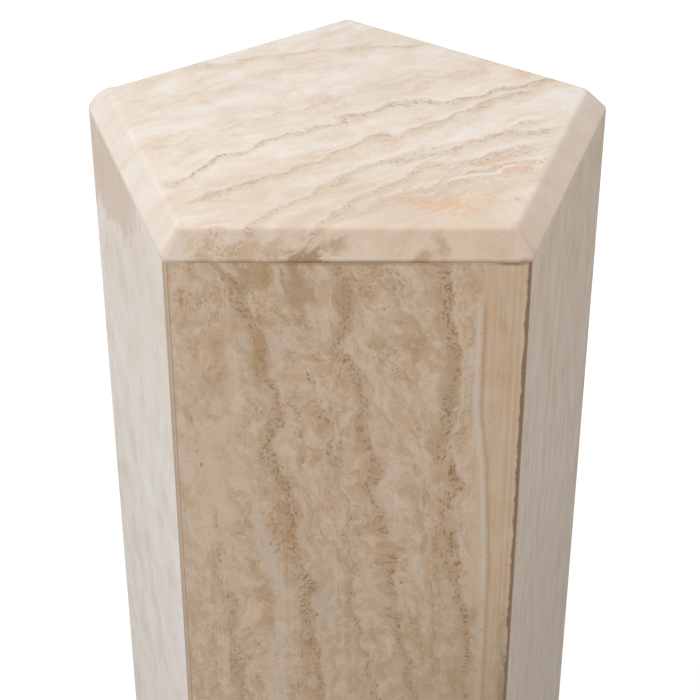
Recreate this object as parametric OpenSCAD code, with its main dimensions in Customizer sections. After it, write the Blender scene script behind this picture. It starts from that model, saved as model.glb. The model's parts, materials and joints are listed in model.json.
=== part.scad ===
// Pentagonal stone pedestal column: a bevelled cap slab on five mitred wall panels.
// The column stands on the panels' feet, is hollow and empty, and is open below.
// Millimetres, +Z up. The origin is on the column's axis at floor level, and the
// front panel faces -Y.

/* [Column] */
// Length of one side of the pentagon, measured corner to corner
side = 250; // [180:5:400]
// Height of the whole column, from the floor to the top face
height = 1000; // [450:10:1400]
// Width of the small flat that eases each upright corner
corner_flat = 3.8; // [1:0.2:10]

/* [Wall panels] */
// Thickness of the stone of the wall panels
panel_thick = 20; // [12:1:40]

/* [Cap slab] */
// Thickness of the stone of the cap slab
cap_thick = 20; // [15:1:50]
// How far the bevel comes in over the top face, measured in plan
bevel_inset = 14.6; // [6:0.2:30]
// Upright edge that is left under the bevel
edge_under_bevel = 2; // [1:0.5:8]

/* [Hidden] */

sides = 5;
turn = 360 / sides;
half_turn = turn / 2;
front = -90; // direction in which panel 0 faces

// Plan of the outside: distance from the axis to a face and to a sharp corner
apothem = side / (2 * tan(half_turn));
corner_r = side / (2 * sin(half_turn));

// The easing flat stands square to the line from the axis to the corner
half_corner = 90 - half_turn;
ease_depth = corner_flat / 2 / tan(half_corner);
ease_run = corner_flat / 2 / sin(half_corner);

// Plan of the hollow inside
inner_r = (apothem - panel_thick) / cos(half_turn);

panel_height = height - cap_thick;
bevel_drop = cap_thick - edge_under_bevel;

function polar(r, a) = [r * cos(a), r * sin(a)];
function turned(p, a) = [p.x * cos(a) - p.y * sin(a), p.x * sin(a) + p.y * cos(a)];

// The two ends of the front face, where the easing flats begin
face_ends = [for (s = [-1, 1]) [s * (side / 2 - ease_run), -apothem]];

// Outline of the whole column: both ends of each face in turn
outline = [for (i = [0 : sides - 1]) for (p = face_ends) turned(p, i * turn)];

// Plan of the front panel. Its mitred ends lie on the lines from the axis to the corners.
panel_plan = [
    face_ends[0],
    face_ends[1],
    polar(corner_r - ease_depth, front + half_turn),
    polar(inner_r, front + half_turn),
    polar(inner_r, front - half_turn),
    polar(corner_r - ease_depth, front - half_turn)
];

// One wall panel, counted anticlockwise from the front when seen from above
module wall_panel(i) {
    rotate(i * turn)
        linear_extrude(panel_height)
            polygon(panel_plan);
}

// Wedge that cuts the bevel along the front edge of the cap. Its sloping face runs on
// past the top face and past the edge, so the cut is clean.
module bevel_wedge() {
    translate([0, -apothem, height])
        rotate([90, 0, 90])
            linear_extrude(2 * side, center = true)
                polygon([
                    [-bevel_inset, -2 * bevel_drop],
                    [2 * bevel_inset, bevel_drop],
                    [-bevel_inset, bevel_drop]
                ]);
}

module cap_slab() {
    color([0.90, 0.85, 0.79])
        difference() {
            translate([0, 0, panel_height])
                linear_extrude(cap_thick)
                    polygon(outline);
            for (i = [0 : sides - 1])
                rotate(i * turn)
                    bevel_wedge();
        }
}

module front_panel() {
    color([0.77, 0.66, 0.54]) wall_panel(0);
}

module right_panel() {
    color([0.79, 0.73, 0.66]) wall_panel(1);
}

module back_right_panel() {
    color([0.80, 0.74, 0.66]) wall_panel(2);
}

module back_left_panel() {
    color([0.82, 0.76, 0.69]) wall_panel(3);
}

module left_panel() {
    color([0.86, 0.82, 0.77]) wall_panel(4);
}

cap_slab();
front_panel();
right_panel();
back_right_panel();
back_left_panel();
left_panel();
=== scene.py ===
import json
import math
import random

import bpy
from mathutils import Matrix, Vector

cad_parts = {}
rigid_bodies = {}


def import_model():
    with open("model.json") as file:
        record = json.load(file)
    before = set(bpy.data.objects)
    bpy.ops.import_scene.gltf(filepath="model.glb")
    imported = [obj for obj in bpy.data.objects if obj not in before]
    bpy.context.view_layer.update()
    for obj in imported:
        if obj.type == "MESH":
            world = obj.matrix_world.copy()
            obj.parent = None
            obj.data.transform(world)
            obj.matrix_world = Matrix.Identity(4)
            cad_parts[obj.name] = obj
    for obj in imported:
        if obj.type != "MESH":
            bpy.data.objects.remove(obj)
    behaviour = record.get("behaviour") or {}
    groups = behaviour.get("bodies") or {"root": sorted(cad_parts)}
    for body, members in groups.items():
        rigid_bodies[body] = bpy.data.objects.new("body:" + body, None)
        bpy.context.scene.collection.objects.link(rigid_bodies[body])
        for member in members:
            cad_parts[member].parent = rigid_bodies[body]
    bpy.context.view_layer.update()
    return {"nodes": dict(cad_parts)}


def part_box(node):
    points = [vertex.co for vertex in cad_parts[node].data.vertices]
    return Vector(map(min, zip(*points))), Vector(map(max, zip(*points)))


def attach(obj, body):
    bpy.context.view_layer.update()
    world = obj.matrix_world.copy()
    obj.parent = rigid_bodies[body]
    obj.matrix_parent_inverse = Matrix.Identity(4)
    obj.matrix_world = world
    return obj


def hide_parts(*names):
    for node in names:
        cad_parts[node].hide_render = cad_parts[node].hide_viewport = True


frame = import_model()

mm = 0.001
turn = math.tau / 5  # from one side of the column to the next


def linear(hexColour):
    # sRGB hex to the linear values that the nodes take
    parts = [int(hexColour[i:i + 2], 16) / 255 for i in (1, 3, 5)]
    return [c / 12.92 if c <= 0.04045 else ((c + 0.055) / 1.055) ** 2.4 for c in parts] + [1.0]


def addNode(tree, kind, inputs=None, **settings):
    # one node with its settings; an input is a value, a node or one of a node's outputs
    node = tree.nodes.new(kind)
    for name, value in settings.items():
        setattr(node, name, value)
    for key, value in (inputs or {}).items():
        if isinstance(value, bpy.types.Node):
            value = next(output for output in value.outputs if output.enabled)
        if isinstance(value, bpy.types.NodeSocket):
            tree.links.new(value, node.inputs[key])
        else:
            node.inputs[key].default_value = value
    return node


studio = {
    "eye": (0.0, -1.3003, 1.6428),
    "pitchDown": 33.008,
    "lens": 99.395,
    "shiftX": 0.0036,
    "floorSize": 14.0,
    "floorColour": "#CECCC8",
    "glowNear": 0.64,  # near the foot the paper glows less, so the shadow shows
    "glowFar": 0.95,
    "glowFrom": 0.5,
    "glowTo": 2.2,
    "worldColour": "#FFFFFF",
    "worldStrength": 0.29,
    "lamps": {
        "overhead": {"place": (-0.15, 0.3, 2.6), "size": 1.2, "watts": 5.0, "colour": "#FFFFFF"},
        "leftBox": {"place": (-1.45, -0.45, 1.95), "size": 1.7, "watts": 25.6, "colour": "#F9FBFF"},
        "rightBox": {"place": (1.4, -0.35, 1.9), "size": 0.9, "watts": 8.6, "colour": "#FFFFFF"},
        "frontBox": {"place": (0.1, -1.7, 2.3), "size": 1.1, "watts": 7.2, "colour": "#FFF8EE"},
    },
    "aim": (0, 0, 0.85),
}


def buildStudio():
    scene = bpy.context.scene
    scene.view_settings.view_transform = "Standard"
    bpy.ops.object.camera_add(location=studio["eye"],
                              rotation=(math.radians(90 - studio["pitchDown"]), 0, 0))
    camera = bpy.context.object
    camera.data.sensor_width = 36
    camera.data.lens = studio["lens"]
    camera.data.shift_x = studio["shiftX"]
    scene.camera = camera
    for name, lamp in studio["lamps"].items():
        place = Vector(lamp["place"])
        aim = (Vector(studio["aim"]) - place).to_track_quat("-Z", "Y")
        bpy.ops.object.light_add(type="AREA", location=place, rotation=aim.to_euler())
        light = bpy.context.object
        light.name = name
        light.data.shape = "SQUARE"
        light.data.size = lamp["size"]
        light.data.energy = lamp["watts"]
        light.data.color = linear(lamp["colour"])[:3]
        light.visible_camera = False
    world = bpy.data.worlds.new("softbox room")
    scene.world = world
    world.use_nodes = True
    tree = world.node_tree
    tree.nodes.clear()
    soft = addNode(tree, "ShaderNodeBackground", {
        "Color": linear(studio["worldColour"]), "Strength": studio["worldStrength"]})
    white = addNode(tree, "ShaderNodeBackground", {"Color": linear("#FFFFFF"), "Strength": 1.0})
    path = addNode(tree, "ShaderNodeLightPath").outputs
    seen = addNode(tree, "ShaderNodeMath", {
        0: path["Is Camera Ray"], 1: path["Is Glossy Ray"]}, operation="MAXIMUM")
    seen = addNode(tree, "ShaderNodeMath", {
        0: seen, 1: path["Is Transmission Ray"]}, operation="MAXIMUM")
    mixed = addNode(tree, "ShaderNodeMixShader", {0: seen, 1: soft, 2: white})
    addNode(tree, "ShaderNodeOutputWorld", {"Surface": mixed})


def buildFloor():
    bpy.ops.mesh.primitive_plane_add(size=studio["floorSize"], location=(0, 0, 0))
    floor = bpy.context.object
    floor.name = "studio_floor"
    paper = bpy.data.materials.new("white studio paper")
    paper.use_nodes = True
    tree = paper.node_tree
    tree.nodes.clear()
    dull = addNode(tree, "ShaderNodeBsdfDiffuse", {"Color": linear(studio["floorColour"])})
    seen = addNode(tree, "ShaderNodeLightPath").outputs["Is Camera Ray"]
    here = addNode(tree, "ShaderNodeTexCoord").outputs["Object"]
    away = addNode(tree, "ShaderNodeVectorMath", {0: here}, operation="LENGTH")
    glowing = addNode(tree, "ShaderNodeMapRange", {
        "Value": away, "From Min": studio["glowFrom"], "From Max": studio["glowTo"],
        "To Min": studio["glowNear"], "To Max": studio["glowFar"]},
        interpolation_type="SMOOTHSTEP")
    lift = addNode(tree, "ShaderNodeMath", {0: seen, 1: glowing}, operation="MULTIPLY")
    glow = addNode(tree, "ShaderNodeEmission", {"Color": linear("#FFFFFF"), "Strength": lift})
    both = addNode(tree, "ShaderNodeAddShader", {0: dull, 1: glow})
    addNode(tree, "ShaderNodeOutputMaterial", {"Surface": both})
    floor.data.materials.append(paper)


buildStudio()
buildFloor()
print("studio ready")


# the plan of the column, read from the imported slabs
capLow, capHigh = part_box("cap_slab")
panelLow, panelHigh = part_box("front_panel")
apothem = -panelLow.y
panelThick = panelHigh.y - panelLow.y
capCorners = [v.co.copy() for v in frame["nodes"]["cap_slab"].data.vertices]
topFront = min(p.y for p in capCorners if p.z > capHigh.z - 0.1 * mm)
bevelInset = topFront + apothem
bevelFoot = max(p.z for p in capCorners if p.y < -apothem + 0.1 * mm)
faceHalf = max(p.x for p in capCorners if p.y < -apothem + 0.1 * mm)

# the same, in the millimetres that the stone's patterns use
topZ = capHigh.z / mm
jointZ = panelHigh.z / mm
faceY = -apothem / mm
bevelOut = (apothem - bevelInset) / mm


def selectOnly(piece):
    bpy.ops.object.select_all(action="DESELECT")
    piece.select_set(True)
    bpy.context.view_layer.objects.active = piece


def mergedCopy(nodeName, pieceName):
    # a packed slab's own mesh, its loose triangles joined into whole faces
    piece = bpy.data.objects.new(pieceName, frame["nodes"][nodeName].data.copy())
    piece.data.name = pieceName
    piece.data.materials.clear()
    bpy.context.scene.collection.objects.link(piece)
    selectOnly(piece)
    bpy.ops.object.mode_set(mode="EDIT")
    bpy.ops.mesh.select_all(action="SELECT")
    bpy.ops.mesh.remove_doubles(threshold=0.01 * mm)
    bpy.ops.mesh.dissolve_limited(angle_limit=math.radians(0.5))
    bpy.ops.mesh.customdata_custom_splitnormals_clear()
    bpy.ops.object.mode_set(mode="OBJECT")
    return piece


def easeEdges(piece, widths, steps):
    # a rounded bevel; widths gives its width at an edge from the edge's two ends
    widest = 1.0 * mm
    share = piece.data.attributes.new("bevel_weight_edge", "FLOAT", "EDGE")
    corners = piece.data.vertices
    for edge in piece.data.edges:
        ends = [corners[i].co for i in edge.vertices]
        share.data[edge.index].value = widths(*ends) / widest
    selectOnly(piece)
    ease = piece.modifiers.new("eased edges", "BEVEL")
    ease.limit_method = "WEIGHT"
    ease.width = widest
    ease.segments = steps
    ease.use_clamp_overlap = True
    bpy.ops.object.modifier_apply(modifier=ease.name)


def finishShading(piece):
    # flat faces stay flat to the eye and only the eased arrises look round
    selectOnly(piece)
    bpy.ops.object.shade_smooth_by_angle(angle=math.radians(34))
    weighted = piece.modifiers.new("flat faces lead", "WEIGHTED_NORMAL")
    weighted.keep_sharp = True
    bpy.ops.object.modifier_apply(modifier=weighted.name)


def sinkPits(piece, pits, crust, seed):
    # small ragged hollows, cut out of the slab and lined with their own crust
    ragged = 0.22 * mm
    bpy.ops.object.select_all(action="DESELECT")
    blobs = []
    for pit in pits:
        bpy.ops.mesh.primitive_ico_sphere_add(
            subdivisions=2, radius=1, location=pit["place"], rotation=pit["turned"],
            scale=pit["size"])
        blobs.append(bpy.context.object)
    for blob in blobs:
        blob.select_set(True)
    bpy.ops.object.join()
    cutter = bpy.context.object
    cutter.data.materials.append(crust)
    bpy.ops.object.transform_apply(location=True, rotation=True, scale=True)
    bpy.ops.object.mode_set(mode="EDIT")
    bpy.ops.mesh.select_all(action="SELECT")
    bpy.ops.transform.vertex_random(offset=ragged, uniform=1.0, seed=seed)
    bpy.ops.object.mode_set(mode="OBJECT")
    selectOnly(piece)
    cut = piece.modifiers.new("pits", "BOOLEAN")
    cut.operation = "DIFFERENCE"
    cut.solver = "EXACT"
    cut.use_self = True
    cut.material_mode = "TRANSFER"
    cut.object = cutter
    bpy.ops.object.modifier_apply(modifier=cut.name)
    bpy.data.objects.remove(cutter)
    dropChips(piece)


def dropChips(piece):
    # keeps the slab itself, and deletes the loose chips that neighbouring pits cut free
    bpy.ops.object.mode_set(mode="EDIT")
    bpy.ops.mesh.select_mode(type="VERT")
    bpy.ops.mesh.select_all(action="DESELECT")
    bpy.ops.object.mode_set(mode="OBJECT")
    lowest = min(piece.data.vertices, key=lambda corner: corner.co.z)
    lowest.select = True
    bpy.ops.object.mode_set(mode="EDIT")
    bpy.ops.mesh.select_linked()
    bpy.ops.mesh.select_all(action="INVERT")
    bpy.ops.mesh.delete(type="VERT")
    bpy.ops.object.mode_set(mode="OBJECT")


capCut = {
    "topRound": 5.5 * mm,
    "footRound": 3.5 * mm,
    "underRound": 0.35 * mm,
    "cornerSoft": 1.8 * mm,
    "arcSteps": 4,
    "fullCorner": -1.5,  # which corner is the full one, in sides from the front
    "fullBy": 3.4 * mm,
    "fullReach": 21 * mm,
    "fullIn": 7 * mm,
    "fullDown": 6 * mm,
    "cutsDown": (5 * mm, 8 * mm, 12 * mm),
    "cutsAlong": (4 * mm, 9 * mm, 15 * mm, 22 * mm),
}


def roundedProfile(points, radii, steps):
    # a chain of (inset, height) points with an arc of each radius at its inner corners
    chain = [Vector(points[0])]
    for before, corner, after, radius in zip(points, points[1:], points[2:], radii):
        corner = Vector(corner)
        back = (Vector(before) - corner).normalized()
        ahead = (Vector(after) - corner).normalized()
        opening = back.angle(ahead)
        reach = radius / math.tan(opening / 2)
        centre = corner + (back + ahead).normalized() * (radius / math.sin(opening / 2))
        start = (corner + back * reach - centre).normalized()
        end = (corner + ahead * reach - centre).normalized()
        for i in range(steps + 1):
            chain.append(centre + start.slerp(end, i / steps) * radius)
    chain.append(Vector(points[-1]))
    return chain


def buildCap():
    piece = mergedCopy("cap_slab", "cap_stone")
    # keep the flat underside as the outline, and raise the slab again with soft edges
    bpy.ops.object.mode_set(mode="EDIT")
    bpy.ops.mesh.select_mode(type="FACE")
    bpy.ops.mesh.select_all(action="DESELECT")
    bpy.ops.object.mode_set(mode="OBJECT")
    for face in piece.data.polygons:
        face.select = face.normal.z > -0.99
    bpy.ops.object.mode_set(mode="EDIT")
    bpy.ops.mesh.delete(type="FACE")
    bpy.ops.mesh.select_mode(type="VERT")
    bpy.ops.mesh.select_all(action="SELECT")
    bpy.ops.mesh.bevel(offset=capCut["cornerSoft"], affect="VERTICES",
                       segments=capCut["arcSteps"])
    bpy.ops.mesh.select_all(action="SELECT")
    margin = 6 * mm  # how much of the flat faces the profile takes in at its two ends
    profile = roundedProfile(
        [(margin, capLow.z), (0, capLow.z), (0, bevelFoot), (bevelInset, capHigh.z),
         (bevelInset + margin, capHigh.z)],
        [capCut["underRound"], capCut["footRound"], capCut["topRound"]],
        capCut["arcSteps"])
    scaleNow = 1.0
    heightNow = capLow.z
    for step, (inset, height) in enumerate(profile):
        scaleNext = 1 - inset / apothem
        if step:
            bpy.ops.mesh.extrude_region_move(
                TRANSFORM_OT_translate={"value": (0, 0, height - heightNow)})
        bpy.ops.transform.resize(value=(scaleNext / scaleNow, scaleNext / scaleNow, 1),
                                 center_override=(0, 0, height))
        scaleNow = scaleNext
        heightNow = height
    bpy.ops.mesh.select_all(action="SELECT")
    bpy.ops.mesh.normals_make_consistent(inside=False)
    bpy.ops.object.mode_set(mode="OBJECT")
    fillCorner(piece)
    return piece


def fillCorner(piece):
    # one corner was ground less than the others and stands a little fuller
    angle = capCut["fullCorner"] * turn
    out = Vector((math.sin(angle), -math.cos(angle), 0))
    middle = out * (apothem / math.cos(turn / 2) - capCut["fullIn"])
    middle.z = capHigh.z - capCut["fullDown"]
    cuts = [(Vector((0, 0, capHigh.z - down)), Vector((0, 0, 1))) for down in capCut["cutsDown"]]
    for side in (-1, 1):
        along = Matrix.Rotation(side * (math.pi / 2 + turn / 2), 3, "Z") @ out
        cuts += [(middle + along * reach, along) for reach in capCut["cutsAlong"]]
    selectOnly(piece)
    bpy.ops.object.mode_set(mode="EDIT")
    for place, across in cuts:
        bpy.ops.mesh.select_all(action="SELECT")
        bpy.ops.mesh.bisect(plane_co=place, plane_no=across)
    bpy.ops.object.mode_set(mode="OBJECT")
    farthest = max(v.co.dot(out) for v in piece.data.vertices)
    push = (out + Vector((0, 0, 1))).normalized() * capCut["fullBy"]
    for v in piece.data.vertices:
        near = max(0.0, 1 - (v.co - middle).length / capCut["fullReach"])
        moved = v.co + push * near * near * (3 - 2 * near)
        # the full corner stays inside the slab's own size, and its underside stays flat
        moved -= out * max(0.0, moved.dot(out) - farthest)
        moved.x = max(moved.x, capLow.x + 0.05 * mm)
        moved.z = min(moved.z, capHigh.z)
        if v.co.z > capLow.z + 1 * mm:
            v.co = moved


panelCut = {
    "faceArris": 0.55 * mm,
    "jointArris": 0.12 * mm,
    "arcSteps": 3,
}

walls = {
    "front_panel": {"piece": "front_stone", "slot": "front_travertine", "turns": 0},
    "right_panel": {"piece": "right_stone", "slot": "side_travertine", "turns": 1},
    "back_right_panel": {"piece": "back_right_stone", "slot": "side_travertine", "turns": 2},
    "back_left_panel": {"piece": "back_left_stone", "slot": "side_travertine", "turns": 3},
    "left_panel": {"piece": "left_stone", "slot": "side_travertine", "turns": 4},
}


def buildWall(nodeName, wall):
    piece = mergedCopy(nodeName, wall["piece"])
    back = Matrix.Rotation(-wall["turns"] * turn, 4, "Z")
    nearOutside = -apothem + panelThick / 4

    def width(a, b):
        places = [back @ a, back @ b]
        if all(p.y < -apothem + 0.1 * mm for p in places):
            return panelCut["faceArris"]
        if all(p.y < nearOutside for p in places):
            return panelCut["jointArris"]
        return 0.0

    easeEdges(piece, width, panelCut["arcSteps"])
    return piece


def grain(tree, place, size, seed, detail=3.0, rough=0.55, swirl=0.0):
    # noise whose lumps are about size millimetres across, along and through the beds; most
    # of its values lie from 0.35 to 0.65
    scaled = addNode(tree, "ShaderNodeVectorMath", {0: place, 1: size}, operation="DIVIDE")
    moved = addNode(tree, "ShaderNodeVectorMath", {
        0: scaled, 1: (seed * 7.3, seed * 3.1, seed * 5.7)}, operation="ADD")
    return addNode(tree, "ShaderNodeTexNoise", {
        "Vector": moved, "Scale": 1.0, "Detail": detail, "Roughness": rough,
        "Distortion": swirl})


def shove(tree, place, lumps, reach):
    # pushes places about, mostly by less than a fifth of the reach, to bend a pattern
    centred = addNode(tree, "ShaderNodeVectorMath", {
        0: lumps.outputs["Color"], 1: (0.5, 0.5, 0.5)}, operation="SUBTRACT")
    return addNode(tree, "ShaderNodeVectorMath", {
        0: centred, 1: (reach, reach, reach), 2: place}, operation="MULTIPLY_ADD")


def masked(tree, *masks):
    # several masks as one; each is a share, or (value, low, high) for a soft step that is
    # 0 at low and 1 at high
    product = None
    for mask in masks:
        if isinstance(mask, tuple):
            value, low, high = mask
            mask = addNode(tree, "ShaderNodeMapRange", {
                "Value": value, "From Min": low, "From Max": high},
                interpolation_type="SMOOTHSTEP")
        if product is not None:
            mask = addNode(tree, "ShaderNodeMath", {0: product, 1: mask}, operation="MULTIPLY")
        product = mask
    return product


def paint(tree, base, colour, *masks, blend="MIX"):
    # lays a colour over the base, as strongly as all the masks together let it
    return addNode(tree, "ShaderNodeMix", {0: masked(tree, *masks), 6: base, 7: linear(colour)},
                   data_type="RGBA", blend_type=blend)


def outFromAxis(tree, place, sideways):
    # how far a place lies out from the column's axis, towards a side counted from the front
    angle = sideways * turn
    return addNode(tree, "ShaderNodeVectorMath", {
        0: place, 1: (math.sin(angle), -math.cos(angle), 0)}, operation="DOT_PRODUCT")


def stonePlaces(tree, look):
    # places on the slab in millimetres: straight, turned along the beds, and pushed about
    here = addNode(tree, "ShaderNodeTexCoord").outputs["Object"]
    column = addNode(tree, "ShaderNodeVectorMath", {0: here, "Scale": 1 / mm}, operation="SCALE")
    turned = addNode(tree, "ShaderNodeVectorRotate", {
        "Vector": column, "Angle": -look["turns"] * turn}, rotation_type="Z_AXIS")
    x, y, z = addNode(tree, "ShaderNodeSeparateXYZ", {0: turned}).outputs
    across, along, deep = (y, x, z) if look["lies"] == "flat" else (x, z, y)
    face = addNode(tree, "ShaderNodeCombineXYZ", {0: across, 1: along, 2: deep})
    beds = addNode(tree, "ShaderNodeVectorRotate", {
        "Vector": face, "Angle": math.radians(look["lean"])}, rotation_type="Z_AXIS")
    bend = grain(tree, beds, (75, 190, 190), look["seed"], detail=1.0)
    ripple = grain(tree, beds, (14, 22, 22), look["seed"] + 1, detail=0.5)
    fray = grain(tree, beds, (3.0, 4.0, 4.0), look["seed"] + 2, detail=3.0, rough=0.65)
    rippled = shove(tree, shove(tree, beds, bend, look["bend"]), ripple, look["ripple"])
    frayed = shove(tree, rippled, fray, look["fray"])
    blur = 6  # millimetres on each side over which the stone grows calm
    calm = masked(tree, (across, look["calmFrom"] + blur, look["calmFrom"] - blur))
    broken = grain(tree, frayed, (7.0, 16.0, 12.0), look["seed"] + 9, detail=3.0, rough=0.6)
    return {"column": column, "turned": turned, "along": along, "face": face, "beds": beds,
            "ripple": ripple, "fray": fray, "rippled": rippled, "frayed": frayed,
            "calm": calm, "broken": broken}


def layBeds(tree, at, look):
    # broad beds and clouds of stone, as one tone, which four shades colour
    bands = grain(tree, at["frayed"], (look["spacing"], 420, 300), look["seed"] + 3,
                  detail=2.5, rough=0.6)
    cloud = grain(tree, at["rippled"], look["cloud"], look["seed"] + 4, detail=4.0,
                  swirl=look["swirl"])
    tone = addNode(tree, "ShaderNodeMix", {0: look["cloudiness"], 2: bands, 3: cloud})
    evenTone = 0.48  # where the stone lies calm, the tone keeps near this one
    lively = addNode(tree, "ShaderNodeMapRange", {"Value": at["calm"], "To Min": 0.45})
    tone = addNode(tree, "ShaderNodeMix", {0: lively, 2: evenTone, 3: tone})
    ramp = addNode(tree, "ShaderNodeValToRGB", {0: tone})
    stops = ramp.color_ramp
    stops.interpolation = "EASE"
    places = (0.38, 0.46, 0.53, 0.60)
    while len(stops.elements) < len(places):
        stops.elements.new(0.5)
    for stop, place, shade in zip(stops.elements, places, look["shades"]):
        stop.position = place
        stop.color = linear(shade)
    return tone, ramp


def layRibbons(tree, at, look, colour):
    # the beds that stand out, pale and greyish or thin and brown, and warm and cool parts
    dark = look["shades"][0]
    ribbon = grain(tree, at["rippled"], look["ribbon"], look["seed"] + 15, detail=2.0, rough=0.5)
    amount = masked(tree, at["calm"], look["ribbons"])
    colour = paint(tree, colour, look["paleRibbon"], amount, (ribbon, 0.56, 0.59))
    colour = paint(tree, colour, dark, amount, (ribbon, 0.44, 0.42))
    hue = grain(tree, at["rippled"], (26, 40, 40), look["seed"] + 12, rough=0.6, swirl=0.5)
    colour = paint(tree, colour, look["warm"], look["hues"], (hue, 0.50, 0.60))
    return paint(tree, colour, look["cool"], look["hues"], (hue, 0.47, 0.38))


def layClots(tree, at, look, colour):
    # crisp clots, pale and dark, large and small, the pale ones with a thin rim, and plaques,
    # flat-toned lumps of a centimetre or so
    dark, pale = look["shades"][0], look["shades"][3]
    rimAt = 0.54  # the clot value along which a pale clot's rim runs
    for size, shift, share in ((1.0, 11, 0.8), (0.42, 13, 0.9)):
        lump = [part * size for part in look["clot"]]
        clot = grain(tree, at["rippled"], lump, look["seed"] + shift, detail=2.0, rough=0.6,
                     swirl=look["swirl"])
        amount = masked(tree, at["calm"], look["clots"] * share)
        colour = paint(tree, colour, pale, amount, (clot, 0.55, 0.575))
        colour = paint(tree, colour, dark, amount, (clot, 0.45, 0.42))
        offRim = addNode(tree, "ShaderNodeMath", {0: clot, 1: rimAt}, operation="SUBTRACT")
        offRim = addNode(tree, "ShaderNodeMath", {0: offRim}, operation="ABSOLUTE")
        colour = paint(tree, colour, look["fleck"], amount, look["rims"], (offRim, 0.014, 0.002))
    lumped = addNode(tree, "ShaderNodeVectorMath", {0: at["frayed"], 1: look["plaque"]},
                     operation="DIVIDE")
    plates = addNode(tree, "ShaderNodeTexVoronoi", {"Vector": lumped, "Scale": 1.0})
    share = addNode(tree, "ShaderNodeSeparateColor", {0: plates.outputs["Color"]})
    amount = masked(tree, at["calm"], look["plaques"])
    colour = paint(tree, colour, pale, amount, (share, 0.55, 0.95))
    return paint(tree, colour, dark, amount, (share, 0.45, 0.05))


def layLaminae(tree, at, look, colour):
    # straight laminae about 1.5 mm thick, only in some of the beds
    straight = at["beds"] if look["lies"] == "flat" else at["face"]
    laminae = grain(tree, straight, (1.5, 420, 200), look["seed"] + 5, detail=1.5)
    where = grain(tree, at["beds"], (26, 500, 300), look["seed"] + 6, detail=0.0)
    bare = addNode(tree, "ShaderNodeMath", {0: 1.0, 1: at["calm"]}, operation="SUBTRACT")
    showing = addNode(tree, "ShaderNodeMath", {
        0: masked(tree, (where, 0.50, 0.62)), 1: bare}, operation="MAXIMUM")
    amount = masked(tree, showing, look["laminae"])
    colour = paint(tree, colour, look["shades"][0], amount, (laminae, 0.50, 0.66))
    return paint(tree, colour, look["shades"][3], amount, (laminae, 0.46, 0.34))


def layVein(tree, at, look, streak, crumbs, colour, hollow):
    # a soft darker bed, with crumbs in its middle and a pale fringe along one side, that
    # follows the vein's own path
    spot = addNode(tree, "ShaderNodeSeparateXYZ", {0: at[streak["runs"]]}).outputs
    alongs = [point[0] for point in streak["path"]]
    acrosses = [point[1] for point in streak["path"]]
    start, length = alongs[0], alongs[-1] - alongs[0]
    low, breadth = min(acrosses), max(acrosses) - min(acrosses)
    share = addNode(tree, "ShaderNodeMapRange", {
        "Value": spot[1], "From Min": start, "From Max": start + length})
    curve = addNode(tree, "ShaderNodeFloatCurve", {"Value": share})
    line = curve.mapping.curves[0]
    for i, (along, across) in enumerate(streak["path"]):
        place = ((along - start) / length, (across - low) / breadth)
        if i == 0:
            point = line.points[0]
        elif i == len(streak["path"]) - 1:
            point = line.points[-1]
        else:
            point = line.points.new(*place)
        point.location = place
        point.handle_type = "VECTOR"
    curve.mapping.update()
    centre = addNode(tree, "ShaderNodeMapRange", {
        "Value": curve, "To Min": low, "To Max": low + breadth})
    offset = addNode(tree, "ShaderNodeMath", {0: spot[0], 1: centre}, operation="SUBTRACT")
    away = addNode(tree, "ShaderNodeMath", {0: offset}, operation="ABSOLUTE")

    width = streak["width"]
    fade = 22  # millimetres over which a vein's end dies away
    gap = 0.56 - streak["whole"] * 0.25  # a whole vein breaks off in fewer places
    within = masked(tree, (at["along"], streak["begin"], streak["begin"] + fade),
                    (at["along"], streak["end"], streak["end"] - fade))
    patchy = masked(tree, within, (at["broken"], gap, gap + 0.06))
    specks = masked(tree, patchy, crumbs, (away, width, width * 0.2))
    colour = paint(tree, colour, streak["halo"], within, streak["soft"], (away, width * 2.4, 0.0))
    if streak["fringe"]:
        colour = paint(tree, colour, look["shades"][3], patchy, streak["fringe"],
                       (offset, width * 0.5, width * 1.1), (offset, width * 2.2, width * 1.2))
    if streak["strong"]:
        colour = paint(tree, colour, streak["colour"], specks, streak["strong"])
    colour = paint(tree, colour, streak["colour"], patchy, streak["thread"], (away, 0.9, 0.2))
    if streak["sunk"]:
        hollow = addNode(tree, "ShaderNodeMath", {
            0: hollow, 1: masked(tree, specks, streak["sunk"])}, operation="MAXIMUM")
    return colour, hollow


def layStain(tree, at, blot, colour):
    # a soft patch round a place, with a ragged rim
    offset = addNode(tree, "ShaderNodeVectorMath", {
        0: at["turned"], 1: blot["place"]}, operation="SUBTRACT")
    ball = addNode(tree, "ShaderNodeVectorMath", {
        0: offset, 1: blot["reach"]}, operation="DIVIDE")
    far = addNode(tree, "ShaderNodeVectorMath", {0: ball}, operation="LENGTH")
    inner = addNode(tree, "ShaderNodeMath", {0: far, 1: blot["ragged"] / 2},
                    operation="SUBTRACT")
    uneven = addNode(tree, "ShaderNodeMath", {
        0: at["broken"], 1: blot["ragged"], 2: inner}, operation="MULTIPLY_ADD")
    return paint(tree, colour, blot["colour"], blot["strong"], (uneven, 1.0, blot["core"]))


def layBevelToneAndLight(tree, at, edge, colour):
    # a ground bevel, a little different in tone from the face above it, with painted light and
    # shade: each side's bevel gets its own colour as the lamps fall on that side, the left paler
    # and cooler, the front darker and warmer
    onBevel = (outFromAxis(tree, at["column"], edge["side"]), bevelOut - 2, bevelOut + 3.5)
    colour = paint(tree, colour, edge["stone"], edge["even"], onBevel)
    return paint(tree, colour, edge["tone"], onBevel, blend="MULTIPLY")


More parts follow.
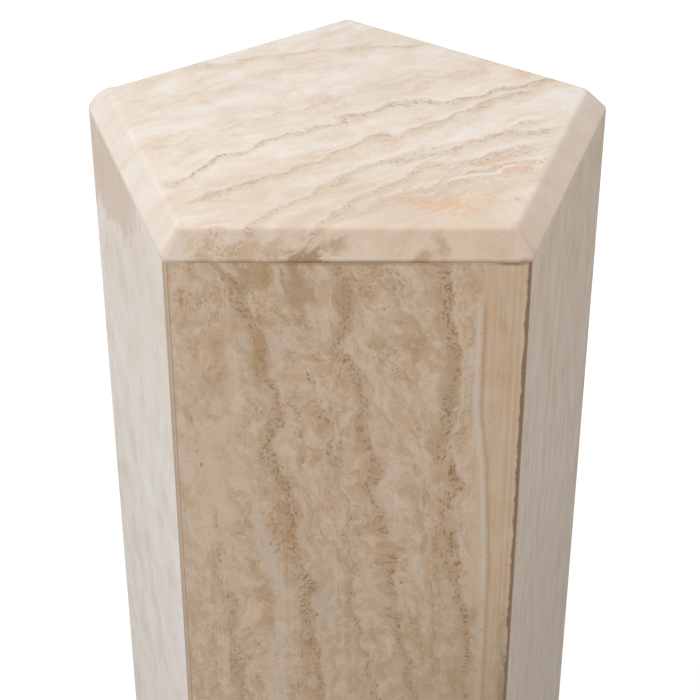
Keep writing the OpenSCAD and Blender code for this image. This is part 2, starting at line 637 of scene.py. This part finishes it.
def laySeam(tree, at, seam, colour):
    # a corner seam, filled with coloured resin and rubbed flat
    corner = seam["corner"] + 0.5
    square = math.pi / 2 / turn  # a right angle, counted in sides
    aside = outFromAxis(tree, at["column"], corner + square)
    aside = addNode(tree, "ShaderNodeMath", {0: aside}, operation="ABSOLUTE")
    centred = addNode(tree, "ShaderNodeMath", {0: at["broken"], 1: 0.5}, operation="SUBTRACT")
    wavy = addNode(tree, "ShaderNodeMath", {
        0: centred, 1: seam["ragged"], 2: aside}, operation="MULTIPLY_ADD")
    cornerOut = bevelOut / math.cos(turn / 2)
    outside = masked(tree, (outFromAxis(tree, at["column"], corner), cornerOut - 2.5,
                            cornerOut + 1.5))
    colour = paint(tree, colour, seam["colour"], outside, seam["strong"],
                   (wavy, seam["half"] + 0.7, seam["half"] - 0.4))
    offRim = addNode(tree, "ShaderNodeMath", {0: wavy, 1: seam["half"]}, operation="SUBTRACT")
    offRim = addNode(tree, "ShaderNodeMath", {0: offRim}, operation="ABSOLUTE")
    return paint(tree, colour, seam["rim"], outside, seam["rimStrong"], (offRim, 0.6, 0.1))


def travertine(name, look):
    # Roman travertine, sawn, filled and honed: soft bands of cream and tan that waver along
    # the beds, brown spongy veins with tiny pores, and a dull, even sheen
    stone = bpy.data.materials.new(name)
    stone.use_nodes = True
    tree = stone.node_tree
    tree.nodes.clear()
    at = stonePlaces(tree, look)
    tone, colour = layBeds(tree, at, look)
    colour = layRibbons(tree, at, look, colour)
    colour = layClots(tree, at, look, colour)
    colour = layLaminae(tree, at, look, colour)

    # spongy flecks of 2 to 3 mm gather in the darker beds, and small pale glints, painted
    # highlights in the stone's palest shade, lie everywhere
    flecks = grain(tree, at["frayed"], look["crumb"], look["seed"] + 7, detail=2.0, rough=0.6)
    crumbs = masked(tree, (flecks, 0.50, 0.60))
    spongy = masked(tree, crumbs, at["calm"], (tone, 0.50, 0.40))
    colour = paint(tree, colour, look["fleck"], spongy, look["sponge"])
    glints = grain(tree, at["rippled"], (1.5, 2.0, 2.0), look["seed"] + 8, detail=2.0)
    colour = paint(tree, colour, look["shades"][3], look["glints"], (glints, 0.57, 0.70))

    wandered = shove(tree, at["face"], at["ripple"], look["wander"])
    at["wandering"] = shove(tree, wandered, at["fray"], look["fray"] * 2.8)
    at["straight"] = shove(tree, at["face"], at["fray"], look["fray"])
    hollow = masked(tree, spongy, 0.2)
    for streak in look["veins"]:
        colour, hollow = layVein(tree, at, look, streak, crumbs, colour, hollow)
    for blot in look["stains"]:
        colour = layStain(tree, at, blot, colour)
    for edge in look["edges"]:
        colour = layBevelToneAndLight(tree, at, edge, colour)
    for seam in look["seams"]:
        colour = laySeam(tree, at, seam, colour)

    # pores of about a millimetre, filled and honed flush or left a hair open
    cell = addNode(tree, "ShaderNodeVectorMath", {0: at["frayed"], 1: (2.6, 3.8, 3.2)},
                   operation="DIVIDE")
    cells = addNode(tree, "ShaderNodeTexVoronoi", {"Vector": cell, "Scale": 1.0})
    few = addNode(tree, "ShaderNodeSeparateColor", {0: cells.outputs["Color"]})
    pores = masked(tree, (few, 1.0 - look["pores"], 1.02 - look["pores"]),
                   (cells.outputs["Distance"], 0.24, 0.10))
    colour = paint(tree, colour, look["pore"], pores, 0.6)

    # the tooth that honing leaves is finer than this; half a millimetre is what can show
    tooth = grain(tree, at["rippled"], (0.6, 0.6, 0.6), look["seed"] + 10, detail=1.0)
    sunk = addNode(tree, "ShaderNodeMath", {0: hollow, 1: pores}, operation="MAXIMUM")
    height = addNode(tree, "ShaderNodeMath", {
        0: sunk, 1: -1.0, 2: masked(tree, tooth, 0.08)}, operation="MULTIPLY_ADD")
    bump = addNode(tree, "ShaderNodeBump", {
        "Height": height, "Strength": 0.5, "Distance": 0.5 * mm})
    dull = addNode(tree, "ShaderNodeMapRange", {
        "Value": hollow, "To Min": look["roughness"], "To Max": look["roughness"] + 0.25})
    shader = addNode(tree, "ShaderNodeBsdfPrincipled", {
        "Base Color": colour, "Roughness": dull, "Normal": bump, "IOR": 1.5})
    addNode(tree, "ShaderNodeOutputMaterial", {"Surface": shader})
    return stone


def openCrust(name, look):
    # the inside of an open hole in travertine: rough, browner and duller than the honed face
    stone = bpy.data.materials.new(name)
    stone.use_nodes = True
    tree = stone.node_tree
    tree.nodes.clear()
    here = addNode(tree, "ShaderNodeTexCoord").outputs["Object"]
    place = addNode(tree, "ShaderNodeVectorMath", {0: here, "Scale": 1 / mm}, operation="SCALE")
    rough = grain(tree, place, (1.2, 1.2, 1.2), look["seed"], detail=3.0)
    colour = paint(tree, linear(look["fleck"]), look["shades"][0], (rough, 0.4, 0.6))
    bump = addNode(tree, "ShaderNodeBump", {
        "Height": rough, "Strength": 0.6, "Distance": 0.4 * mm})
    shader = addNode(tree, "ShaderNodeBsdfPrincipled", {
        "Base Color": colour, "Roughness": 0.85, "Normal": bump, "IOR": 1.5})
    addNode(tree, "ShaderNodeOutputMaterial", {"Surface": shader})
    return stone


def vein(path, width=3.0, **other):
    # a vein's values: its path as (along, across) points in millimetres, and how it shows
    values = {
        "path": path, "width": width, "begin": path[0][0] - 40, "end": path[-1][0] + 40,
        "whole": 0.6, "soft": 0.4, "strong": 0.7, "thread": 0.35, "fringe": 0.55, "sunk": 0.5,
        "halo": "#D2BBA2", "colour": "#AC9075", "runs": "wandering",
    }
    values.update(other)
    return values


def thinLine(path, width, colour, **other):
    # a vein that is one clean line of another colour, with no crumbs
    return vein(path, width, halo=colour, colour=colour, strong=0.0, fringe=0.0, sunk=0.0,
                **other)


def stain(place, reach, colour, strong, ragged=1.2, core=0.2):
    return {"place": place, "reach": reach, "colour": colour, "strong": strong,
            "ragged": ragged, "core": core}


capLook = {
    "seed": 3, "turns": 0, "lies": "flat", "lean": 33.0,
    "spacing": 15.0, "bend": 70.0, "ripple": 9.0, "fray": 3.0, "wander": 20.0,
    "cloud": (18, 34, 30), "swirl": 0.25, "cloudiness": 0.5,
    "ribbon": (10, 60, 50), "ribbons": 0.16, "paleRibbon": "#EDE6E0",
    "plaque": (8, 13, 12), "plaques": 0.14,
    "clot": (10, 16, 15), "clots": 0.2, "rims": 0.6, "calmFrom": 900,
    "shades": ("#DECAB5", "#E4D4C2", "#E9DCCE", "#EEE5DB"), "hues": 0.22,
    "warm": "#E8D0BA", "cool": "#E2DAD2",
    "fleck": "#C9B39B", "crumb": (1.6, 3.4, 2.6), "pore": "#A08767", "laminae": 0.04,
    "sponge": 0.30, "glints": 0.30, "pores": 0.03, "roughness": 0.56,
    "veins": [
        vein(((-150, -115), (-120, -90), (-90, -55), (-35, -15), (5, 10), (40, 35), (75, 34),
              (125, 59), (185, 85)), 5.5, begin=-138, end=184, whole=0.95, thread=0.22),
        vein(((-120, -135), (-80, -105), (-35, -70), (15, -30), (60, -5), (105, 30),
              (150, 60)), 5.5, begin=-124, end=152, whole=0.8, thread=0.12, strong=0.5),
        vein(((-70, -165), (-40, -125), (10, -75), (30, -60), (80, -45), (105, -20),
              (160, -10)), 7.0, end=166, whole=0.85, strong=0.6, thread=0.08),
        vein(((-30, -175), (5, -125), (30, -100), (60, -70), (100, -60), (150, -30)),
             9.0, end=150, whole=0.85, strong=0.65, thread=0.06),
        vein(((60, -120), (90, -80), (125, -65), (165, -50)), 6.5, end=158, whole=0.7,
             strong=0.5, thread=0.08),
        vein(((-5, -150), (40, -112), (75, -98), (110, -84), (150, -70)), 6.0, begin=0, end=146,
             whole=0.55, strong=0.5, thread=0.04, soft=0.3, fringe=0.8),
        vein(((20, -70), (60, -40), (100, -30), (150, 10)), 5.0, begin=20, end=160, whole=0.4,
             strong=0.4, thread=0.04, soft=0.25, fringe=0.8),
        vein(((-130, -40), (-60, 10), (-10, 40), (60, 80)), 4.0, whole=0.3, strong=0.3,
             thread=0.05, soft=0.25),
        vein(((-95, 100), (-60, 120), (-20, 130), (40, 140)), 4.0, whole=0.4, strong=0.3,
             thread=0.05),
    ],
    "stains": [
        stain((40, -150, topZ), (230, 120, 80), "#D6BFA6", 0.5, core=0.1),
        stain((76, -124, topZ), (34, 20, 40), "#DDA877", 0.5, ragged=4.0, core=0.0),
        stain((122, -70, topZ), (26, 14, 40), "#DDB088", 0.4, ragged=4.0, core=0.0),
        stain((141, 91, topZ), (20, 16, 40), "#DDAC80", 0.4, ragged=4.0, core=0.0),
        stain((-28, faceY, jointZ), (17, 11, 22), "#A28461", 0.85, ragged=2.6, core=0.3),
        stain((-14, faceY + 5, jointZ + 12), (16, 9, 11), "#B1946F", 0.6, ragged=3.0),
        stain((-62, faceY, jointZ + 8), (26, 12, 12), "#C0A584", 0.5, ragged=3.4),
        stain((-98, faceY, jointZ + 4), (14, 12, 18), "#BDA180", 0.55, ragged=3.0),
        stain((14, faceY, jointZ + 8), (16, 12, 14), "#EDE0D0", 0.5, ragged=3.0),
        stain((52, faceY, jointZ), (9, 12, 14), "#B19270", 0.6, ragged=3.0),
        stain((64, faceY + 6, jointZ + 12), (8, 12, 12), "#B79878", 0.6, ragged=3.0),
        stain((0, faceY, jointZ), (140, 6, 3), "#A98B68", 0.5, ragged=0.8),
        stain((120, faceY, jointZ), (6, 7, 5), "#8F7352", 0.9, ragged=0.4),
    ],
    "edges": [
        # painted light and shade on the bevel, one side to each entry: the lit left side paler and
        # cooler, the front darker and warmer, the right a little darker
        {"side": 0, "tone": "#EEE8E2", "stone": "#E3D2C0", "even": 0.0},
        {"side": 4, "tone": "#F4F2F0", "stone": "#ECE4DA", "even": 0.45},
        {"side": 1, "tone": "#FAF6F4", "stone": "#E6D5C5", "even": 0.45},
    ],
    "seams": [
        {"corner": -1, "half": 2.4, "ragged": 2.0, "colour": "#C9B39F", "strong": 0.6,
         "rim": "#BCA28A", "rimStrong": 0.1},
    ],
}

paleBed = ((0, 104), (720, 102), (810, 97), (860, 91), (920, 91))
frontVein = {"halo": "#C8A27A", "colour": "#A27F5B", "fringe": 0.42}

frontLook = {
    "seed": 11, "turns": 0, "lies": "upright", "lean": -9.0,
    "spacing": 14.0, "bend": 60.0, "ripple": 10.0, "fray": 3.5, "wander": 18.0,
    "cloud": (16, 28, 24), "swirl": 0.25, "cloudiness": 0.6,
    "ribbon": (9, 80, 60), "ribbons": 0.38, "paleRibbon": "#EAD8C4",
    "plaque": (7, 11, 10), "plaques": 0.36,
    "clot": (13, 19, 17), "clots": 0.42, "rims": 0.8, "calmFrom": 93,
    "shades": ("#D9B792", "#E7C9A9", "#EED3B7", "#F5E0CA"), "hues": 0.35,
    "warm": "#EDC5A3", "cool": "#DDD0B2",
    "fleck": "#B89670", "crumb": (2.2, 3.0, 3.0), "pore": "#8F7351", "laminae": 0.3,
    "sponge": 0.5, "glints": 0.15, "pores": 0.05, "roughness": 0.56,
    "veins": [
        vein(((0, 45), (300, 10), (590, -20), (640, -30), (700, -29), (740, -40), (800, -45),
              (825, -57), (850, -50), (910, -60), (960, -78), (980, -92)), 6.5, whole=0.75,
             soft=0.36, thread=0.1, strong=0.6, **frontVein),
        vein(((0, 100), (400, 70), (590, 53), (670, 35), (725, 34), (785, 20), (820, 19),
              (850, 10), (895, 5), (910, -8), (935, 0), (980, -6)), 5.5, whole=0.6,
             soft=0.3, thread=0.1, strong=0.55, **frontVein),
        vein(((0, 118), (450, 96), (590, 91), (670, 91), (690, 83), (750, 72), (800, 77),
              (830, 67), (875, 75), (980, 64)), 6.0, whole=0.55, soft=0.34, thread=0.1,
             halo="#C49C72", colour="#9B7852"),
        vein(((0, 70), (300, 48), (560, 30), (660, 6), (760, 2), (860, -22), (960, -40)),
             4.0, end=900, whole=0.5, soft=0.22, thread=0.08, strong=0.5, sunk=0.3,
             **frontVein),
        vein(((0, -40), (300, -62), (590, -84), (700, -92), (800, -104), (900, -112)), 4.0,
             end=880, whole=0.4, soft=0.2, thread=0.05, strong=0.45, sunk=0.3, **frontVein),
        thinLine(((0, 0), (400, -40), (590, -58), (640, -56), (670, -50), (700, -53),
                  (760, -66), (825, -84)), 3.0, "#EBDAC6", end=830, whole=1.4, soft=0.7,
                 thread=0.3),
        thinLine(paleBed, 1.6, "#F0DFCC", end=960, whole=1.4, soft=0.9, thread=0.8,
                 runs="straight"),
        thinLine([(along, across + 4) for along, across in paleBed], 1.2, "#BE9C76", end=960,
                 whole=1.0, soft=0.35, thread=0.2, runs="straight"),
    ],
    "stains": [
        stain((-34, faceY, 960), (16, 20, 34), "#C29B6F", 0.6, ragged=2.4),
        stain((-66, faceY, 970), (30, 20, 14), "#C29B6F", 0.55, ragged=3.0),
        stain((-58, faceY, 905), (16, 20, 30), "#C8A27A", 0.45, ragged=3.0),
        stain((-93, faceY, 916), (14, 20, 16), "#C8A27A", 0.4, ragged=3.0),
        stain((-98, faceY, 880), (16, 20, 20), "#C8A27A", 0.45, ragged=3.0),
        stain((0, faceY, 950), (12, 20, 34), "#C39A72", 0.5, ragged=2.0),
        stain((51, faceY, 912), (16, 20, 18), "#C8A27A", 0.45, ragged=3.0),
        stain((72, faceY, 880), (14, 20, 30), "#C8A27A", 0.45, ragged=3.0),
        stain((-100, faceY, 800), (34, 20, 160), "#F6DDC2", 0.6, ragged=2.0, core=0.0),
        stain((-50, faceY, 912), (10, 20, 16), "#F0DFCB", 0.6),
        stain((-18, faceY, 690), (9, 20, 60), "#D8C6B0", 0.5),
        stain((14, faceY, 700), (8, 20, 40), "#EBD8C2", 0.5),
        stain((122, faceY, 560), (9, 12, 130), "#9B7A58", 0.75, ragged=1.6),
        # darker towards the bottom of the front, most on its right: partly the stone's own browner
        # tone, partly painted shade of the light falling off downwards
        stain((120, faceY, 480), (200, 60, 300), "#C4AB8B", 0.68, ragged=0.6, core=0.0),
        stain((112, faceY, jointZ), (17, 6, 3), "#8F7150", 0.85, ragged=0.4),
        stain((0, faceY, jointZ), (140, 6, 3), "#A98B68", 0.5, ragged=0.8),
    ],
    "edges": [],
    "seams": [
        {"corner": -1, "half": 2.0, "ragged": 0.6, "colour": "#CDB39A", "strong": 0.8,
         "rim": "#9F856C", "rimStrong": 0.5},
        {"corner": 0, "half": 1.7, "ragged": 5.0, "colour": "#96765A", "strong": 0.9,
         "rim": "#A98B6C", "rimStrong": 0.3},
    ],
}

leftLook = {
    "seed": 23, "turns": 4, "lies": "upright", "lean": 4.0,
    "spacing": 17.0, "bend": 60.0, "ripple": 9.0, "fray": 3.0, "wander": 12.0,
    "cloud": (30, 40, 36), "swirl": 0.3, "cloudiness": 0.85,
    "ribbon": (14, 110, 70), "ribbons": 0.06, "paleRibbon": "#EFEAE4",
    "plaque": (14, 24, 20), "plaques": 0.12,
    "clot": (20, 34, 30), "clots": 0.12, "rims": 0.3, "calmFrom": 900,
    "shades": ("#E7DACC", "#EEE4D9", "#F0E8DF", "#F3EDE6"), "hues": 0.25,
    "warm": "#EEDECD", "cool": "#E4E1DA",
    "fleck": "#CFC0AC", "crumb": (3.4, 3.6, 3.0), "pore": "#A48E72", "laminae": 0.03,
    "sponge": 0.14, "glints": 0.1, "pores": 0.02, "roughness": 0.56,
    "veins": [],
    "stains": [
        stain((0, faceY, 980), (260, 60, 240), "#E2CFBB", 0.38, ragged=0.8, core=0.0),
        stain((-128, faceY, 990), (190, 40, 88), "#CDB197", 0.48, ragged=0.7, core=0.84),
    ],
    "edges": [],
    "seams": [
        {"corner": -1, "half": 2.0, "ragged": 0.6, "colour": "#BFA891", "strong": 0.9,
         "rim": "#9F856C", "rimStrong": 0.4},
    ],
}

rightLook = {
    "seed": 31, "turns": 1, "lies": "upright", "lean": 1.5,
    "spacing": 13.0, "bend": 45.0, "ripple": 10.0, "fray": 3.0, "wander": 10.0,
    "cloud": (14, 40, 30), "swirl": 0.25, "cloudiness": 0.65,
    "ribbon": (8, 90, 50), "ribbons": 0.10, "paleRibbon": "#E9E0D6",
    "plaque": (8, 20, 16), "plaques": 0.14,
    "clot": (11, 26, 20), "clots": 0.2, "rims": 0.3, "calmFrom": 900,
    "shades": ("#DAC5B0", "#E2D0BF", "#E7D7C8", "#ECDFD3"), "hues": 0.25,
    "warm": "#E6CFBB", "cool": "#DCD2C6",
    "fleck": "#C3AB93", "crumb": (2.4, 3.4, 2.6), "pore": "#94805F", "laminae": 0.05,
    "sponge": 0.26, "glints": 0.14, "pores": 0.04, "roughness": 0.56,
    "veins": [],
    "stains": [
        # the right panel grows darker and greyer towards its bottom
        stain((0, faceY, 480), (260, 60, 300), "#CFC0B0", 0.4, ragged=0.6, core=0.0),
        stain((0, faceY, 980), (260, 60, 220), "#DCC4AA", 0.35, ragged=0.8, core=0.0),
    ],
    "edges": [],
    "seams": [
        {"corner": 0, "half": 1.3, "ragged": 0.8, "colour": "#96765A", "strong": 0.85,
         "rim": "#8E7052", "rimStrong": 0.2},
    ],
}

backVein = {"whole": 0.5, "soft": 0.5, "strong": 0.4, "thread": 0.02, "sunk": 0.3,
            "fringe": 0.4}

backRightLook = dict(
    rightLook, seed=41, turns=2, lean=-4.0, wander=24.0, seams=[], veins=[
        vein(((0, -60), (250, -45), (520, -68), (760, -50), (980, -72)), 8.0, **backVein),
        vein(((0, 35), (300, 52), (600, 36), (980, 62)), 6.0, **backVein)])

backLeftLook = dict(
    leftLook, seed=53, turns=3, lean=5.0, wander=24.0, seams=[], stains=[], veins=[
        vein(((0, 5), (280, 30), (560, 10), (800, 36), (980, 24)), 9.0, halo="#D6C2AA",
             **backVein),
        vein(((0, -88), (400, -66), (700, -86), (980, -70)), 6.0, halo="#D6C2AA",
             **backVein)])


openHoles = {
    "cap_slab": {"number": 40, "size": 0.8, "seed": 7, "clear": 24},
    "front_panel": {"number": 70, "size": 0.95, "seed": 12, "clear": 12},
    "back_right_panel": {"number": 30, "size": 0.9, "seed": 21, "clear": 12},
    "back_left_panel": {"number": 30, "size": 0.9, "seed": 33, "clear": 12},
}


def pitsAlong(look, number, size, seed, clear):
    # places for open holes, strung along the slab's crumbly veins, and clear of its edges
    proud = 0.4  # how far a hole's middle stands out of the face, in widths
    deep = 0.8  # how far it reaches down from there, in widths
    dice = random.Random(seed)
    face = Matrix.Rotation(look["turns"] * turn, 4, "Z")
    crumbly = [streak for streak in look["veins"] if streak["sunk"]]
    pits = []
    while len(pits) < number:
        chosen = dice.choice(crumbly)
        step = dice.randrange(len(chosen["path"]) - 1)
        (along, across), (alongNext, acrossNext) = chosen["path"][step:step + 2]
        lie = math.atan2(acrossNext - across, alongNext - along) + dice.uniform(-0.4, 0.4)
        part = dice.random()
        along += (alongNext - along) * part
        across += (acrossNext - across) * part + dice.gauss(0, chosen["width"] * 0.45)
        wide = size * dice.uniform(0.5, 1.3)
        long = wide * dice.uniform(1.2, 2.6)
        if look["lies"] == "flat":
            inside = math.hypot(across, along) < apothem / mm - clear
            place = Vector((along, across, topZ + wide * proud)) * mm
            turned = (0, 0, lie)
            scale = (long * mm, wide * mm, wide * deep * mm)
        else:
            inside = abs(across) < faceHalf / mm - clear and clear < along < jointZ - clear
            place = face @ (Vector((across, faceY - wide * proud, along)) * mm)
            turned = (face @ Matrix.Rotation(lie, 4, "Y")).to_euler()
            scale = (wide * mm, wide * deep * mm, long * mm)
        if inside:
            pits.append({"place": place, "turned": turned, "size": scale})
    return pits


def finishSlab(piece, nodeName, look):
    piece.data.materials.append(travertine("honed travertine of the " + nodeName, look))
    if nodeName in openHoles:
        crust = openCrust("open travertine holes of the " + nodeName, look)
        holes = openHoles[nodeName]
        sinkPits(piece, pitsAlong(look, **holes), crust, holes["seed"])
    finishShading(piece)
    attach(piece, "root")
    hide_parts(nodeName)
    print(piece.name, "ready:", len(piece.data.polygons), "faces")


looks = {
    "front_panel": frontLook,
    "right_panel": rightLook,
    "back_right_panel": backRightLook,
    "back_left_panel": backLeftLook,
    "left_panel": leftLook,
}

finishSlab(buildCap(), "cap_slab", capLook)
for nodeName, wall in walls.items():
    finishSlab(buildWall(nodeName, wall), nodeName, looks[nodeName])
